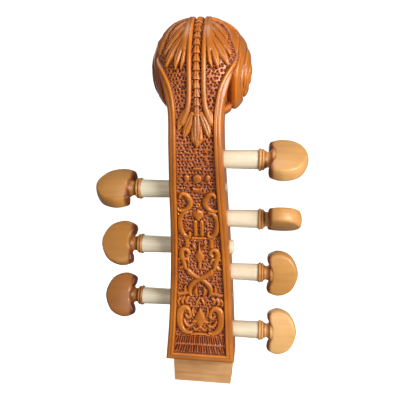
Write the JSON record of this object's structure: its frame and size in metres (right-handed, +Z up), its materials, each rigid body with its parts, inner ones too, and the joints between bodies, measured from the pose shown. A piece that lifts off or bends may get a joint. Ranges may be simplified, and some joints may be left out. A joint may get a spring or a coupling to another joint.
{
  "type": "carved pegbox head",
  "caption": "Carved pegbox with scroll finial, sunk scrollwork panel on its back and turned tapered tuning pegs that rotate in its cheeks.",
  "frame": {"origin": "centre of the flat lower end of the neck stub", "axes": "+Z up the neck axis to the finial, carved back faces -Y, open string side faces +Y, +X is to the right seen from the back"},
  "size_m": [0.1251, 0.0866, 0.2229],
  "materials": {
    "varnished_maple": "carved, oil varnished honey brown",
    "bare_maple": "bare scraped wood, unvarnished",
    "pale_shaft_wood": "smooth turned pale wood, satin",
    "boxwood": "polished honey boxwood, semi-gloss"
  },
  "bodies": {
    "root": {"pegbox": "varnished_maple", "neck_stub": "bare_maple"},
    "peg_1": {"peg_shaft_1": "pale_shaft_wood", "peg_head_1": "boxwood"},
    "peg_2": {"peg_shaft_2": "pale_shaft_wood", "peg_head_2": "boxwood"},
    "peg_3": {"peg_shaft_3": "pale_shaft_wood", "peg_head_3": "boxwood"},
    "peg_4": {"peg_shaft_4": "pale_shaft_wood", "peg_head_4": "boxwood"},
    "peg_5": {"peg_shaft_5": "pale_shaft_wood", "peg_head_5": "boxwood"},
    "peg_6": {"peg_shaft_6": "pale_shaft_wood", "peg_head_6": "boxwood"},
    "peg_7": {"peg_shaft_7": "pale_shaft_wood", "peg_head_7": "boxwood"}
  },
  "joints": [
    {"name": "peg_1_turn", "type": "hinge", "parent": "root", "child": "peg_1", "pos_m": [0, -0.01231, 0.03779], "axis": [1, 0, 0], "continuous": true},
    {"name": "peg_2_turn", "type": "hinge", "parent": "root", "child": "peg_2", "pos_m": [0, -0.01465, 0.05673], "axis": [-1, 0, 0], "continuous": true},
    {"name": "peg_3_turn", "type": "hinge", "parent": "root", "child": "peg_3", "pos_m": [0, -0.0192, 0.07587], "axis": [1, 0, 0], "continuous": true},
    {"name": "peg_4_turn", "type": "hinge", "parent": "root", "child": "peg_4", "pos_m": [0, -0.02482, 0.09183], "axis": [-1, 0, 0], "continuous": true},
    {"name": "peg_5_turn", "type": "hinge", "parent": "root", "child": "peg_5", "pos_m": [0, -0.03347, 0.11], "axis": [1, 0, 0], "continuous": true},
    {"name": "peg_6_turn", "type": "hinge", "parent": "root", "child": "peg_6", "pos_m": [0, -0.04362, 0.12664], "axis": [-1, 0, 0], "continuous": true},
    {"name": "peg_7_turn", "type": "hinge", "parent": "root", "child": "peg_7", "pos_m": [0, -0.0523, 0.14369], "axis": [1, 0, 0], "continuous": true}
  ]
}
